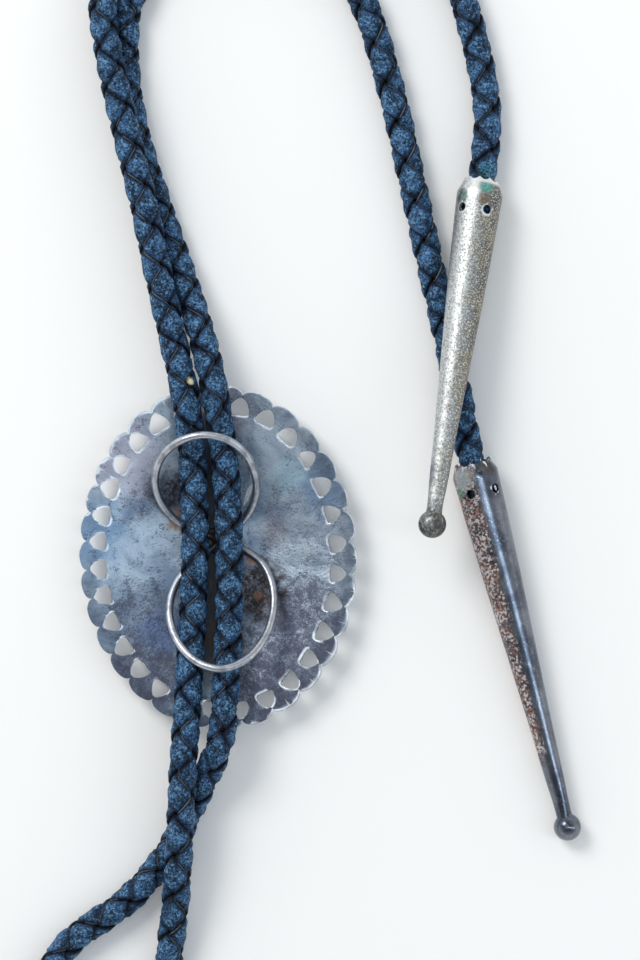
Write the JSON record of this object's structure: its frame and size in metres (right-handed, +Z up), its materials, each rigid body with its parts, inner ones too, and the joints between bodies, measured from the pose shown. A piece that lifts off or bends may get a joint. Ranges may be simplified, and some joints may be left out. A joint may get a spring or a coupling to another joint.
{
  "type": "bolo tie",
  "caption": "Bolo tie lying face down: pierced oval silver slide with a wire clip, round braided leather cord and tapered silver tips.",
  "frame": {"origin": "middle of the slide's flat front, on the surface that the tie lies on face down", "axes": "+Z up out of the slide's back, +Y along the slide's long side and the paired cords, towards the end the tips' cords leave, +X across the slide towards the tips"},
  "size_m": [0.0967, 0.2647, 0.0146],
  "materials": {
    "plate_silver": "tarnished grey-blue silver, lightly scratched",
    "blue_leather": "dark blue dyed leather with a fine pebbled grain, four-strand round braid",
    "warm_silver": "worn grey silver with brown stains",
    "dark_silver": "blackened polished silver with brown specks"
  },
  "bodies": {
    "root": {"slide": "plate_silver", "braided_cord": "blue_leather", "tip_upper": "warm_silver", "tip_lower": "dark_silver"}
  },
  "joints": []
}
